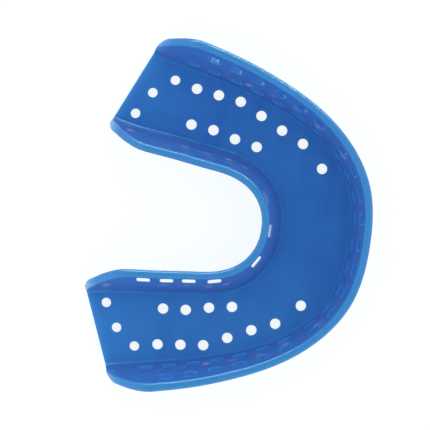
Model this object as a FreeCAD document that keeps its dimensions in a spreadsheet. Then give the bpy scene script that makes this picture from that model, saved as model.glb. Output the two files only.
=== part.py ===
import FreeCAD, Part

# Full-arch lower (mandibular) impression tray, perforated stock size, moulded as one piece.
#
# Millimetres, +Z up with the trough open upwards. The front of the arch points along -Y and the two arms run
# along +Y. They mirror each other, apart from the inner slots. The origin lies on the mirror plane, at the
# middle of the overall length, level with the flat underside.
#
# A horseshoe floor carries an inner (tongue) and an outer (cheek) flange. Each flange leans outwards, ends in
# an out-turned lip and sweeps down to the open end of each arm. Round perforations pass through the floor,
# one row of slots through the inner flange and two rows through the outer flange.

import math
import os

import Sketcher
from FreeCAD import Matrix, Placement, Vector

OUT_FOLDER = "parts"
PART_NAME = "tray"

DIMENSIONS = {
    # cross-section
    "rim_height": 13.0,
    "floor_thickness": 1.8,
    "wall_thickness": 1.35,
    "wall_bend_share": 0.55,
    "wall_bend_run_share": 0.45,
    "outer_lip_width": 1.7,
    "inner_lip_width": 1.6,
    "lip_thickness": 1.4,
    "lip_droop": 0.4,
    # rounding of the cross-section
    "outer_root_radius": 0.8,
    "inner_root_radius": 0.8,
    "heel_radius": 3.0,
    "wall_bend_radius": 10.0,
    "lip_shoulder_radius": 1.0,
    "lip_edge_radius": 0.9,
    "lip_lower_edge_radius": 0.4,
    "lip_under_radius": 0.5,
    # how the flanges come down towards the open ends of the arms
    "drop_power": 1.6,
    "outer_drop_length": 11.0,
    "outer_end_share": 0.5,
    "inner_drop_length": 9.5,
    "inner_end_share": 0.3,
    "corner_length": 2.0,
    "corner_drop": 1.4,
    "outer_corner_lip_share": 0.4,
    "inner_corner_lip_share": 0.6,
    # perforations in the floor
    "hole_diameter": 2.4,
    "end_hole_diameter": 2.2,
    "hole_first_row": 18.2,
    "hole_row_pitch": 5.2,
    # slots in the flanges
    "outer_slot_length": 3.2,
    "outer_slot_width": 2.2,
    "outer_slot_corner": 1.0,
    "outer_slot_low": 4.7,
    "outer_slot_high": 9.9,
    "outer_slot_pitch": 5.3,
    "outer_slot_gap": 7.3,
    "outer_slot_stagger": 0.6,
    "inner_slot_length": 3.1,
    "inner_slot_width": 0.8,
    "inner_slot_widest": 1.7,
    "inner_slot_corner": 0.38,
    "inner_slot_run": 2.9,
    "inner_slot_height": 11.2,
    "inner_slot_lean": 30.0,
    "inner_slot_lean_power": 1.6,
}

# Where the flanges meet the floor, at matching cross-sections from the front of the arch to the end of the
# right arm: x, y and how far the full-height wall leans out, for the outer and then for the inner flange.
# The last row is the slanted end face.
ROOT_LINES = (
    (0.0, -27.0, 2.5, 0.0, -10.9, 3.0),
    (10.9, -25.5, 2.6, 5.2, -10.2, 3.1),
    (19.1, -20.5, 2.7, 9.9, -7.9, 3.3),
    (24.5, -13.9, 3.0, 13.2, -4.6, 3.5),
    (29.0, -3.9, 3.7, 15.9, 1.4, 3.6),
    (32.0, 5.8, 4.3, 17.0, 8.5, 3.6),
    (33.7, 13.3, 4.6, 17.9, 15.3, 3.6),
    (34.9, 18.6, 4.6, 18.6, 22.1, 3.6),
    (36.1, 24.1, 4.6, 20.2, 30.9, 3.6),
)

# Distance of the perforations from the mirror plane in each crosswise row, from the arm's end to the front.
OUTER_HOLES_X = (30.9, 29.7, 29.0, 28.3, 25.8, 23.2, 20.9, 15.9)
INNER_HOLES_X = (21.4, 20.9, 19.6, 18.6)
END_HOLES = ((22.0, 26.1), (27.3, 22.9))

STATIONS_PER_ARM = 30
STATION_CROWDING = 1.5  # above 1 crowds the cross-sections towards the ends, where the shape changes fastest
LEAST_ROUNDING = 0.1  # shortest rounding of a nearly straight corner, as a share of its radius
MOST_OF_SIDE = 0.46  # longest rounding of a corner, as a share of the sides that meet there
SEWING_GAP = 0.001
OUTER_SLOT_PAIRS_AT_FRONT = 4  # on each side of the middle pair, before the wider gap
OUTER_SLOT_PAIRS_PER_ARM = 10
INNER_ARM_SLOTS_Y = (17.9, 12.7, 7.5, 1.2)
INNER_FRONT_SLOT_X = 8.8


def add_sheet(document):
    """Spreadsheet with one named cell per driving dimension."""
    sheet = document.addObject("Spreadsheet::Sheet", "sizes")
    for row, (name, value) in enumerate(DIMENSIONS.items(), start=1):
        sheet.set(f"A{row}", name)
        sheet.set(f"B{row}", str(value))
        sheet.setAlias(f"B{row}", name)
    document.recompute()
    return sheet


def add_shape(document, name, shape):
    """Feature that carries a shape worked out from the sheet."""
    feature = document.addObject("Part::Feature", name)
    feature.Shape = shape
    return feature


class Arch:
    """Root lines of both flanges as curves over one shared parameter: the distance along the trough."""

    def __init__(self):
        right = [(Vector(row[0], row[1], 0), row[2], Vector(row[3], row[4], 0), row[5]) for row in ROOT_LINES]
        left = [(Vector(-a.x, a.y, 0), run, Vector(-b.x, b.y, 0), other) for a, run, b, other in right[:0:-1]]
        rows = left + right
        middles = [(outer + inner) * 0.5 for outer, run, inner, other in rows]
        travel = [0.0]
        for before, after in zip(middles, middles[1:]):
            travel.append(travel[-1] + before.distanceToPoint(after))
        self.end = travel[-1] / 2
        self.parameters = [value - self.end for value in travel]
        self.root = {
            "outer": self.curve([row[0] for row in rows]),
            "inner": self.curve([row[2] for row in rows]),
        }
        self.full_run = {
            "outer": self.curve([Vector(row[1], place, 0) for row, place in zip(rows, self.parameters)]),
            "inner": self.curve([Vector(row[3], place, 0) for row, place in zip(rows, self.parameters)]),
        }

    def curve(self, points):
        """Smooth curve that reaches each point at its own distance along the trough."""
        spline = Part.BSplineCurve()
        spline.interpolate(Points=points, Parameters=self.parameters)
        return spline

    def frame(self, travel):
        """Inner root point, unit vector across the trough and width of the floor there."""
        start = self.root["inner"].value(travel)
        across = self.root["outer"].value(travel) - start
        width = across.Length
        across.normalize()
        return start, across, width

    def end_distance(self, side, travel):
        """Distance measured along a root line to the nearer end of the arch."""
        if abs(travel) > self.end - SEWING_GAP:
            return 0.0
        if travel < 0:
            return self.root[side].length(-self.end, travel)
        return self.root[side].length(travel, self.end)

    def wall_run(self, sizes, side, travel, height):
        """How far the trough side of a flange leans outwards from its root at a height."""
        full_run = self.full_run[side].value(travel).x
        floor = sizes.floor_thickness
        share = (height - floor) / (sizes.rim_height - floor)
        bend = sizes.wall_bend_share
        bend_run = sizes.wall_bend_run_share
        if share < bend:
            return full_run * bend_run * share / bend
        return full_run * (bend_run + (1 - bend_run) * (share - bend) / (1 - bend))


def flange_corners(sizes, arch, side, travel):
    """Corners (run from the root, height, radius) of a flange, from its root over the lip to the underside."""
    floor = sizes.floor_thickness
    full = sizes.rim_height - floor
    end_distance = arch.end_distance(side, travel)
    drop_length = getattr(sizes, f"{side}_drop_length")
    drop_share = 1 - getattr(sizes, f"{side}_end_share")

    dropped = max(0.0, 1 - end_distance / drop_length)
    cornered = max(0.0, 1 - end_distance / sizes.corner_length)
    top = floor + full * (1 - drop_share * dropped ** sizes.drop_power) - sizes.corner_drop * cornered ** 3
    slope = sizes.drop_power * full * drop_share * dropped ** (sizes.drop_power - 1) / drop_length
    slope += 3 * sizes.corner_drop * cornered ** 2 / sizes.corner_length
    thickness = min(sizes.lip_thickness * math.sqrt(1 + slope ** 2), (top - floor) / 2)
    lip_share = 1 - (1 - getattr(sizes, f"{side}_corner_lip_share")) * cornered ** 3
    lip = getattr(sizes, f"{side}_lip_width") * lip_share

    def run(height):
        return arch.wall_run(sizes, side, travel, height)

    shell = sizes.wall_thickness
    under = top - thickness
    bend_height = floor + (top - floor) * sizes.wall_bend_share
    bend_under = floor + (under - floor) * sizes.wall_bend_share
    root_slope = run(bend_height) / (bend_height - floor)
    return [
        (0.0, floor, getattr(sizes, f"{side}_root_radius")),
        (run(bend_height), bend_height, sizes.wall_bend_radius),
        (run(top), top, sizes.lip_shoulder_radius),
        (run(top) + lip, top - sizes.lip_droop, sizes.lip_edge_radius),
        (run(top) + lip, top - sizes.lip_droop - thickness, sizes.lip_lower_edge_radius),
        (run(under) + shell, under, sizes.lip_under_radius),
        (run(bend_under) + shell, bend_under, sizes.wall_bend_radius + shell),
        (shell - root_slope * floor, 0.0, sizes.heel_radius),
    ]


def rounded_corners(corners):
    """Three poles for each (across, height, radius) corner of a closed outline: where its rounding starts, the
    sharp corner itself, and where the rounding ends."""
    points = [Vector(across, height, 0) for across, height, radius in corners]
    bends = []
    for index, point in enumerate(points):
        back = points[index - 1] - point
        ahead = points[(index + 1) % len(points)] - point
        radius = corners[index][2]
        half_turn = (math.pi - back.getAngle(ahead)) / 2
        tangent = max(radius * math.tan(half_turn), LEAST_ROUNDING * radius)
        tangent = min(tangent, MOST_OF_SIDE * back.Length, MOST_OF_SIDE * ahead.Length)
        bends.append((point + back.normalize() * tangent, point, point + ahead.normalize() * tangent))
    return bends


def cross_section(sizes, arch, travel):
    """Rounded corners, in space, of the closed outline of the moulding at one place along the arch."""
    start, across, width = arch.frame(travel)
    outer = flange_corners(sizes, arch, "outer", travel)
    inner = flange_corners(sizes, arch, "inner", travel)
    corners = [(width + run, height, radius) for run, height, radius in outer]
    corners += [(-run, height, radius) for run, height, radius in reversed(inner)]
    placed = []
    for bend in rounded_corners(corners):
        placed.append([start + across * pole.x + Vector(0, 0, pole.y) for pole in bend])
    return placed


def strip(rails):
    """Face along the whole arch: straight between two rails, or a parabola across three."""
    heights = [pole.z for rail in rails for pole in rail.getPoles()]
    if max(heights) - min(heights) < SEWING_GAP:
        sides = [rails[0].toShape(), rails[-1].toShape()]
        ends = [Part.makeLine(*(rail.value(place) for rail in (rails[0], rails[-1])))
                for place in (rails[0].FirstParameter, rails[0].LastParameter)]
        return Part.Face(Part.Wire([sides[0], ends[1], sides[1], ends[0]]))
    surface = Part.BSplineSurface()
    degree = len(rails) - 1
    surface.buildFromPolesMultsKnots(
        [rail.getPoles() for rail in rails],
        [degree + 1, degree + 1], rails[0].getMultiplicities(),
        [0, 1], rails[0].getKnots(),
        False, False, degree, rails[0].Degree,
    )
    return surface.toShape()


def end_face(section):
    """Flat face that closes the moulding at the open end of an arm."""
    edges = []
    for index, bend in enumerate(section):
        curve = Part.BezierCurve()
        curve.setPoles(bend)
        edges.append(curve.toShape())
        edges.append(Part.makeLine(bend[2], section[(index + 1) % len(section)][0]))
    return Part.Face(Part.Wire(edges))


def blank_shape(sizes, arch):
    """The moulding without its openings: strips along the arch between smooth rails, closed at both ends."""
    right = []
    for index in range(STATIONS_PER_ARM + 1):
        share = 1 - (1 - index / STATIONS_PER_ARM) ** STATION_CROWDING
        right.append(arch.end * share)
    stations = [-travel for travel in reversed(right[1:])] + right
    sections = [cross_section(sizes, arch, travel) for travel in stations]

    corner_rails = []
    for corner in range(len(sections[0])):
        rails = []
        for pole in range(3):
            rail = Part.BSplineCurve()
            rail.interpolate(Points=[section[corner][pole] for section in sections], Parameters=stations)
            rails.append(rail)
        corner_rails.append(rails)

    faces = [end_face(sections[0]), end_face(sections[-1])]
    for corner, rails in enumerate(corner_rails):
        following = corner_rails[(corner + 1) % len(corner_rails)]
        faces.append(strip(rails))
        faces.append(strip([rails[2], following[0]]))
    sewn = Part.makeCompound(faces)
    sewn.sewShape(SEWING_GAP)
    return Part.makeSolid(sewn.Shells[0])


def add_perforated_body(document, sizes, blank):
    """Body that starts from the blank and pockets the round perforations of both arms through the floor."""
    body = document.addObject("PartDesign::Body", "perforated")
    body.BaseFeature = blank
    document.recompute()
    ground = next(item for item in body.Origin.OriginFeatures if item.Role == "XY_Plane")
    mirror_plane = next(item for item in body.Origin.OriginFeatures if item.Role == "YZ_Plane")

    sketch = body.newObject("Sketcher::SketchObject", "perforation_layout")
    sketch.AttachmentSupport = [(ground, "")]
    sketch.MapMode = "FlatFace"
    centres = [(x, y, "end_hole_diameter") for x, y in END_HOLES]
    for row, x in enumerate(OUTER_HOLES_X):
        size = "end_hole_diameter" if row == 0 else "hole_diameter"
        centres.append((x, sizes.hole_first_row - row * sizes.hole_row_pitch, size))
    for row, x in enumerate(INNER_HOLES_X, start=1):
        centres.append((x, sizes.hole_first_row - row * sizes.hole_row_pitch, "hole_diameter"))
    for x, y, size in centres:
        wanted = getattr(sizes, size)
        hole = sketch.addGeometry(Part.Circle(Vector(x, y, 0), Vector(0, 0, 1), wanted / 2))
        sketch.addConstraint(Sketcher.Constraint("DistanceX", -1, 1, hole, 3, x))
        sketch.addConstraint(Sketcher.Constraint("DistanceY", -1, 1, hole, 3, y))
        diameter = sketch.addConstraint(Sketcher.Constraint("Diameter", hole, wanted))
        sketch.setExpression(f"Constraints[{diameter}]", f"sizes.{size}")
    document.recompute()

    pocket = body.newObject("PartDesign::Pocket", "perforations")
    pocket.Profile = sketch
    pocket.Type = "ThroughAll"
    pocket.Reversed = True
    document.recompute()

    mirrored = body.newObject("PartDesign::Mirrored", "perforations_both_arms")
    mirrored.Originals = [pocket]
    mirrored.MirrorPlane = (mirror_plane, [""])
    body.Tip = mirrored
    document.recompute()
    return body


def slot_tool(length, width, corner, depth, centre, along, through):
    """Bar with rounded corners: long side along `along`, running `depth` in direction `through`."""
    bar = Part.makeBox(length, width, depth, Vector(-length / 2, -width / 2, -depth / 2))
    upright = [edge for edge in bar.Edges if abs(edge.tangentAt(edge.FirstParameter).z) > 0.5]
    bar = bar.makeFillet(corner, upright)
    along = along.normalize()
    through = through.normalize()
    sideways = through.cross(along).normalize()
    bar.Placement = Placement(Matrix(
        along.x, sideways.x, through.x, centre.x,
        along.y, sideways.y, through.y, centre.y,
        along.z, sideways.z, through.z, centre.z,
        0, 0, 0, 1,
    ))
    return bar


def outer_slot(sizes, arch, travel, height):
    """Slot square to the outer flange at a place along the arch and a height."""
    start, across, width = arch.frame(travel)
    tangent = arch.root["outer"].tangent(travel)[0]
    outwards = tangent.cross(Vector(0, 0, 1)).normalize()
    if outwards.dot(across) < 0:
        outwards = -outwards
    step = 0.5
    below = arch.wall_run(sizes, "outer", travel, height - step)
    above = arch.wall_run(sizes, "outer", travel, height + step)
    middle = width + (below + above) / 2 + sizes.wall_thickness / 2
    centre = start + across * middle + Vector(0, 0, height)
    through = outwards * 2 * step - Vector(0, 0, above - below)
    return slot_tool(
        sizes.outer_slot_length, sizes.outer_slot_width, sizes.outer_slot_corner, 4 * sizes.wall_thickness,
        centre, tangent, through,
    )


def inner_slot(sizes, arch, travel):
    """Slot below the lip of the inner flange: upright in the left arm, so that it shows daylight from above, and
    leaning over more and more, and wider, towards the right arm."""
    start, across, width = arch.frame(travel)
    inner = arch.root["inner"]
    arm_x = inner.value(place_where(arch, lambda place: inner.value(place).y > INNER_ARM_SLOTS_Y[-1])).x
    share = min(1.0, max(0.0, (1 + start.x / arm_x) / 2)) ** sizes.inner_slot_lean_power
    lean = math.radians(sizes.inner_slot_lean * share)
    run = sizes.inner_slot_run * arch.full_run["inner"].value(travel).x / arch.full_run["inner"].value(arch.end).x
    return slot_tool(
        sizes.inner_slot_length,
        sizes.inner_slot_width + (sizes.inner_slot_widest - sizes.inner_slot_width) * share,
        sizes.inner_slot_corner,
        sizes.rim_height + 3,
        start - across * run + Vector(0, 0, sizes.inner_slot_height),
        inner.tangent(travel)[0],
        across * math.sin(lean) + Vector(0, 0, math.cos(lean)),
    )


def place_where(arch, reached):
    """Place along the right half of the arch where a test on it first becomes true, found by halving."""
    low, high = 0.0, arch.end
    for _ in range(40):
        middle = (low + high) / 2
        if reached(middle):
            high = middle
        else:
            low = middle
    return high


def slots_shape(sizes, arch):
    """All the slot tools of both flanges as one compound."""
    outer = arch.root["outer"]
    inner = arch.root["inner"]
    tools = []
    for number in range(OUTER_SLOT_PAIRS_PER_ARM + 2):
        distance = number * sizes.outer_slot_pitch
        low_distance = distance
        if number > OUTER_SLOT_PAIRS_AT_FRONT:
            distance += sizes.outer_slot_gap - sizes.outer_slot_pitch
            low_distance = distance - sizes.outer_slot_stagger
        rows = [(sizes.outer_slot_low, low_distance), (sizes.outer_slot_high, distance)]
        if number > OUTER_SLOT_PAIRS_PER_ARM:
            rows = rows[:1]
        for height, reach in rows:
            place = place_where(arch, lambda travel: travel > 0 and outer.length(0, travel) > reach)
            for travel in (place, -place) if number else (0.0,):
                tools.append(outer_slot(sizes, arch, travel, height))
    places = [place_where(arch, lambda travel: inner.value(travel).y > y) for y in INNER_ARM_SLOTS_Y]
    places.append(place_where(arch, lambda travel: inner.value(travel).x > INNER_FRONT_SLOT_X))
    for place in places:
        tools.append(inner_slot(sizes, arch, place))
        tools.append(inner_slot(sizes, arch, -place))
    tools.append(inner_slot(sizes, arch, 0.0))
    return Part.makeCompound(tools)


def main():
    document = FreeCAD.newDocument("impression_tray")
    sizes = add_sheet(document)
    arch = Arch()
    blank = add_shape(document, "blank", blank_shape(sizes, arch))
    body = add_perforated_body(document, sizes, blank)
    slots = add_shape(document, "slots", slots_shape(sizes, arch))
    tray = document.addObject("Part::Cut", PART_NAME)
    tray.Label = PART_NAME
    tray.Base = body
    tray.Tool = slots
    document.recompute()

    for item in document.Objects:
        if "Invalid" in item.State or "Error" in item.State:
            raise RuntimeError(f"{item.Name} did not compute: {item.State}")
    if tray.Shape.isNull() or not tray.Shape.isValid():
        raise RuntimeError("the tray's shape is not a valid solid")
    os.makedirs(OUT_FOLDER, exist_ok=True)
    tray.Shape.exportStep(f"{OUT_FOLDER}/{PART_NAME}.step")
    print(PART_NAME, len(tray.Shape.Solids), tray.Shape.BoundBox, tray.Shape.Volume)


main()
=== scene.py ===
"""Look of the perforated impression tray: blue translucent plastic on a light table, seen from above."""
import math

import bpy
from mathutils import Matrix, Vector

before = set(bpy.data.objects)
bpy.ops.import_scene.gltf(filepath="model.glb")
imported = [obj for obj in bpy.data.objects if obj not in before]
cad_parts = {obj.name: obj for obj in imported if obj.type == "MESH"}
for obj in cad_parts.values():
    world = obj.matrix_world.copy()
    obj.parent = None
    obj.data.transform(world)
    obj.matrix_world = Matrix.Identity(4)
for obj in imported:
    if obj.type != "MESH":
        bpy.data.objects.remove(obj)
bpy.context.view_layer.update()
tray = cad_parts["tray"]

MM = 0.001
scene = bpy.context.scene

# Each arm is cut off by a slanted face. For the right arm this is the direction square to it in plan,
# and the distance from the origin to the face along that direction. The left arm mirrors it.
END_DIRECTION = (0.393, 0.919)
END_DISTANCE = 36.3 * MM

# Above about this height there are only the lips. It drops evenly along the last stretch of each arm.
LIP_HEIGHT = 11.0 * MM
LIP_HEIGHT_AT_END = 2.6 * MM
LIP_DROP_START = 28.3 * MM

# Tones of the plastic, as linear colours: its own cloudy tones, and painted light and shade.
# The two ends of the cloudy tone; the pale end also carries the painted light on the left arm and towards
# the cut ends.
DEEP_BLUE = (0.022, 0.162, 0.57, 1)
PALE_BLUE = (0.036, 0.226, 0.64, 1)
# Painted glow of light through the thin cut ends.
END_GLOW_BLUE = (0.075, 0.34, 0.70, 1)
# Painted shade and sheen on the upright walls: deeper and more violet.
WALL_SHADE_SHEEN_BLUE = (0.056, 0.163, 0.51, 1)
# Painted light in hollows, from the light table below, in place of the sheen they lose.
HOLLOW_LIGHT_BLUE = (0.045, 0.235, 0.62, 1)
# Painted shade on faces that look down.
DOWNWARD_SHADE_BLUE = (0.009, 0.150, 0.48, 1)
# Painted light through the thin lips: lighter and greener.
LIP_LIGHT_BLUE = (0.045, 0.258, 0.58, 1)
# Painted glow of light through the thin tips of the lips at the cut ends.
TIP_GLOW_BLUE = (0.20, 0.47, 0.74, 1)
# Painted light along the edges.
EDGE_LIGHT_BLUE = (0.07, 0.36, 0.72, 1)

# Refractive index in the open and deep in a hollow, and what is taken off it on upright walls.
INDEX_IN_OPEN = 1.5
INDEX_IN_HOLLOW = 1.15
INDEX_OFF_WALL = 0.14


class Nodes:
    """Short way to add and wire the nodes of one tree."""

    def __init__(self, tree):
        self.tree = tree
        tree.nodes.clear()

    def add(self, kind, inputs=None, **settings):
        """Add a node, set its properties, and set or wire its inputs by name or number."""
        node = self.tree.nodes.new(kind)
        for name, value in settings.items():
            setattr(node, name, value)
        for name, value in (inputs or {}).items():
            if isinstance(value, bpy.types.NodeSocket):
                self.tree.links.new(value, node.inputs[name])
            else:
                node.inputs[name].default_value = value
        return node

    def math(self, operation, first, second=0.0, clamp=False):
        node = self.add("ShaderNodeMath", {0: first, 1: second}, operation=operation, use_clamp=clamp)
        return node.outputs[0]

    def multiply(self, first, second):
        return self.math("MULTIPLY", first, second)

    def remap(self, value, low, high, out_low, out_high):
        """Move a value from one range to another and keep it inside the second."""
        node = self.add("ShaderNodeMapRange", {"Value": value, "From Min": low, "From Max": high,
                                               "To Min": out_low, "To Max": out_high})
        return node.outputs["Result"]

    def mix(self, share, first, second):
        """Blend two colours: the first at share 0, the second at share 1."""
        node = self.add("ShaderNodeMix", {0: share, 6: first, 7: second}, data_type="RGBA")
        return node.outputs[2]

    def axis(self, vector, name):
        """X, Y or Z of a vector."""
        return self.add("ShaderNodeSeparateXYZ", {0: vector}).outputs[name]

    def noise(self, vector, scale, detail, roughness):
        node = self.add("ShaderNodeTexNoise", {"Vector": vector, "Scale": scale, "Detail": detail,
                                               "Roughness": roughness})
        return node.outputs["Fac"]


def along_arm(n, place):
    """Distance from the origin towards the slanted end face of the nearer arm."""
    sideways = n.math("ABSOLUTE", n.axis(place, "X"))
    return n.math("ADD", n.multiply(sideways, END_DIRECTION[0]),
                  n.multiply(n.axis(place, "Y"), END_DIRECTION[1]))


def above_wall(n, place, softness):
    """Mask of the heights where only the lips are."""
    lowest = n.remap(along_arm(n, place), LIP_DROP_START, END_DISTANCE, LIP_HEIGHT, LIP_HEIGHT_AT_END)
    return n.remap(n.math("SUBTRACT", n.axis(place, "Z"), lowest), 0.0, softness, 0.0, 1.0)


def base_tone(n, place):
    """Cloudy dyed plastic with flow streaks, plus painted light that makes the left arm and the stretch
    towards the cut ends lighter.
    """
    cloud = n.noise(place, 90.0, 3.0, 0.55)
    stretched = n.add("ShaderNodeMapping", {"Vector": place, "Rotation": (0, 0, math.radians(62)),
                                            "Scale": (26.0, 240.0, 60.0)}).outputs["Vector"]
    streak = n.noise(stretched, 1.0, 2.0, 0.5)
    mottled = n.math("ADD", n.multiply(cloud, 0.6), n.multiply(streak, 0.4))
    # Painted light: a lighter tone on the left arm and towards the cut ends.
    painted_light = n.math("ADD", n.remap(n.axis(place, "X"), 0.0, -20.0 * MM, 0.0, 0.6),
                   n.remap(along_arm(n, place), 22.0 * MM, END_DISTANCE, 0.0, 0.4))
    mottling_and_light = n.math("ADD", n.remap(mottled, 0.38, 0.62, 0.0, 0.5), painted_light, clamp=True)
    tone = n.mix(mottling_and_light, DEEP_BLUE, PALE_BLUE)

    # Painted glow of light through the thin cut ends, rising with the square of the nearness to them.
    end_glow = n.remap(along_arm(n, place), END_DISTANCE - 2.3 * MM, END_DISTANCE, 0.0, 0.75)
    return n.mix(n.multiply(end_glow, end_glow), tone, END_GLOW_BLUE)


def zone_tone(n, place, tone, level, upright, free):
    """The base tone, with painted shade and sheen on walls, painted shade on faces that look down,
    and painted light in hollows, through the lips and through their tips.
    """
    # Painted shade and sheen on the upright walls.
    tone = n.mix(n.multiply(upright, free), tone, WALL_SHADE_SHEEN_BLUE)
    # Painted light in hollows, from the light table below, in place of the sheen they lose.
    tone = n.mix(free, HOLLOW_LIGHT_BLUE, tone)
    # Painted shade on faces that look down.
    tone = n.mix(n.remap(level, 0.10, -0.05, 0.0, 1.0), tone, DOWNWARD_SHADE_BLUE)
    # Painted light through the thin lips.
    lip_light = n.multiply(above_wall(n, place, 0.4 * MM), n.remap(level, 0.45, 0.985, 0.0, 1.0))
    tone = n.mix(lip_light, tone, LIP_LIGHT_BLUE)

    # The painted glow of the tips is weaker towards the outer flange.
    near_end = n.remap(along_arm(n, place), END_DISTANCE - 3.0 * MM, END_DISTANCE, 0.0, 0.9)
    inner = n.remap(n.math("ABSOLUTE", n.axis(place, "X")), 24.0 * MM, 32.0 * MM, 1.0, 0.4)
    tip_glow = n.multiply(n.multiply(above_wall(n, place, 2.5 * MM), near_end), inner)
    return n.mix(tip_glow, tone, TIP_GLOW_BLUE)


def edge_light_mask(n, normal, rounded, free):
    """Mask of the painted light along the edges: where the rounded normal turns away from the true one,
    weaker in hollows.
    """
    agreement = n.add("ShaderNodeVectorMath", {0: normal, 1: rounded}, operation="DOT_PRODUCT")
    turned = n.remap(agreement.outputs["Value"], 0.995, 0.85, 0.0, 0.8)
    return n.multiply(turned, n.remap(free, 0.0, 1.0, 0.7, 1.0))


def surface_bumps(n, place, rounded):
    """Normal of the moulded skin: rounded edges, a fine grain and shallow sink marks."""
    fine = n.add("ShaderNodeBump", {"Height": n.noise(place, 2600.0, 2.0, 0.5), "Distance": 0.004 * MM,
                                    "Strength": 0.5, "Normal": rounded})
    wavy = n.add("ShaderNodeBump", {"Height": n.noise(place, 150.0, 1.0, 0.4), "Distance": 0.12 * MM,
                                    "Strength": 0.15, "Normal": fine.outputs["Normal"]})
    return wavy.outputs["Normal"]


def moulded_plastic():
    """Glossy, slightly translucent blue plastic, with part of its shading painted on."""
    material = bpy.data.materials.new("blue_moulded_plastic")
    material.use_nodes = True
    n = Nodes(material.node_tree)
    place = n.add("ShaderNodeTexCoord").outputs["Object"]
    normal = n.add("ShaderNodeNewGeometry").outputs["Normal"]
    rounded = n.add("ShaderNodeBevel", {"Radius": 0.35 * MM}, samples=4).outputs["Normal"]
    level = n.axis(normal, "Z")
    upright = n.remap(n.math("ABSOLUTE", level), 0.70, 0.30, 0.0, 1.0)

    # Hollows, such as slots and flange roots, are found by how little is open around each point.
    # They get a lower refractive index than real plastic has, so that they shine less.
    open_sky = n.add("ShaderNodeAmbientOcclusion", {"Distance": 2.5 * MM}, samples=8).outputs["AO"]
    free = n.remap(open_sky, 0.40, 0.75, 0.0, 1.0)
    index = n.remap(open_sky, 0.55, 0.88, INDEX_IN_HOLLOW, INDEX_IN_OPEN)
    index = n.math("SUBTRACT", index, n.multiply(upright, INDEX_OFF_WALL))

    tone = zone_tone(n, place, base_tone(n, place), level, upright, free)
    shader = n.add("ShaderNodeBsdfPrincipled", {
        # Base colour with the painted light and shade above, and painted light along the edges.
        "Base Color": n.mix(edge_light_mask(n, normal, rounded, free), tone, EDGE_LIGHT_BLUE),
        "Roughness": n.remap(n.noise(place, 420.0, 2.0, 0.6), 0.3, 0.7, 0.13, 0.20),
        "IOR": index,
        "Normal": surface_bumps(n, place, rounded),
        "Specular Tint": (0.50, 0.90, 1.0, 1),
        "Subsurface Weight": 0.6,
        "Subsurface Radius": (0.25, 0.9, 1.6),
        "Subsurface Scale": 1.0 * MM,
    })
    n.add("ShaderNodeOutputMaterial", {"Surface": shader.outputs[0]})
    return material


def light_table():
    """White surface that is lit through from below, with faint paper grain."""
    material = bpy.data.materials.new("light_table")
    material.use_nodes = True
    n = Nodes(material.node_tree)
    place = n.add("ShaderNodeTexCoord").outputs["Object"]
    grain = n.noise(place, 900.0, 2.0, 0.6)
    colour = n.mix(grain, (0.19, 0.21, 0.215, 1), (0.23, 0.25, 0.255, 1))
    bump = n.add("ShaderNodeBump", {"Height": grain, "Distance": 0.02 * MM, "Strength": 0.3})
    shader = n.add("ShaderNodeBsdfPrincipled", {
        "Base Color": colour, "Roughness": 0.9, "Specular IOR Level": 0.0, "Normal": bump.outputs["Normal"],
        "Emission Color": (0.965, 1.0, 0.985, 1), "Emission Strength": 0.87,
    })
    # Seen from below the surface is clear, so that the underside of the tray shows.
    below = n.add("ShaderNodeNewGeometry").outputs["Backfacing"]
    clear = n.add("ShaderNodeBsdfTransparent").outputs[0]
    surface = n.add("ShaderNodeMixShader", {0: below, 1: shader.outputs[0], 2: clear})
    n.add("ShaderNodeOutputMaterial", {"Surface": surface.outputs[0]})
    return material


def light_tent():
    """World: a white tent, dimmest straight overhead. The camera itself sees it as one pale grey."""
    world = bpy.data.worlds.new("light_tent")
    scene.world = world
    world.use_nodes = True
    n = Nodes(world.node_tree)
    height = n.axis(n.add("ShaderNodeTexCoord").outputs["Generated"], "Z")
    strength = n.remap(height, 0.55, 1.0, 1.25, 0.50)
    tent = n.add("ShaderNodeBackground", {"Color": (1, 1, 1, 1), "Strength": strength})
    seen = n.add("ShaderNodeBackground", {"Color": (0.93, 0.94, 0.95, 1), "Strength": 1.0})
    camera_ray = n.add("ShaderNodeLightPath").outputs["Is Camera Ray"]
    both = n.add("ShaderNodeMixShader", {0: camera_ray, 1: tent.outputs[0], 2: seen.outputs[0]})
    n.add("ShaderNodeOutputWorld", {"Surface": both.outputs[0]})


def add_strip_light():
    """Long low light beside the right arm, hidden from diffuse rays so that it adds only highlights."""
    data = bpy.data.lights.new("strip", "AREA")
    data.shape = "RECTANGLE"
    data.size = 0.9
    data.size_y = 0.24
    data.energy = 9.0
    lamp = bpy.data.objects.new("strip", data)
    lamp.visible_diffuse = False
    lamp.location = (0.60, 0.0, 0.26)
    lamp.rotation_euler = (-lamp.location).to_track_quat("-Z", "Y").to_euler()
    scene.collection.objects.link(lamp)


def add_floor():
    """Large flat square just clear of the tray's underside."""
    half = 1.0
    level = -0.02 * MM
    corners = [(-half, -half, level), (half, -half, level), (half, half, level), (-half, half, level)]
    mesh = bpy.data.meshes.new("floor")
    mesh.from_pydata(corners, [], [(0, 1, 2, 3)])
    mesh.materials.append(light_table())
    floor = bpy.data.objects.new("floor", mesh)
    scene.collection.objects.link(floor)


def add_camera():
    """Long lens straight above the tray, with the arms pointing left."""
    turn = math.radians(8.782)
    data = bpy.data.cameras.new("camera")
    data.lens = 218.15
    data.sensor_width = 36
    camera = bpy.data.objects.new("camera", data)
    right = Vector((math.sin(turn), -math.cos(turn), 0))
    up = Vector((math.cos(turn), math.sin(turn), 0))
    place = Vector((1.68, 4.48, 600.0)) * MM
    axes = Matrix((right, up, right.cross(up))).transposed().to_4x4()
    camera.matrix_world = Matrix.Translation(place) @ axes
    scene.collection.objects.link(camera)
    scene.camera = camera


scene.view_settings.view_transform = "Standard"
scene.view_settings.look = "None"

tray.data.materials.clear()
tray.data.materials.append(moulded_plastic())
add_floor()
light_tent()
add_strip_light()
add_camera()
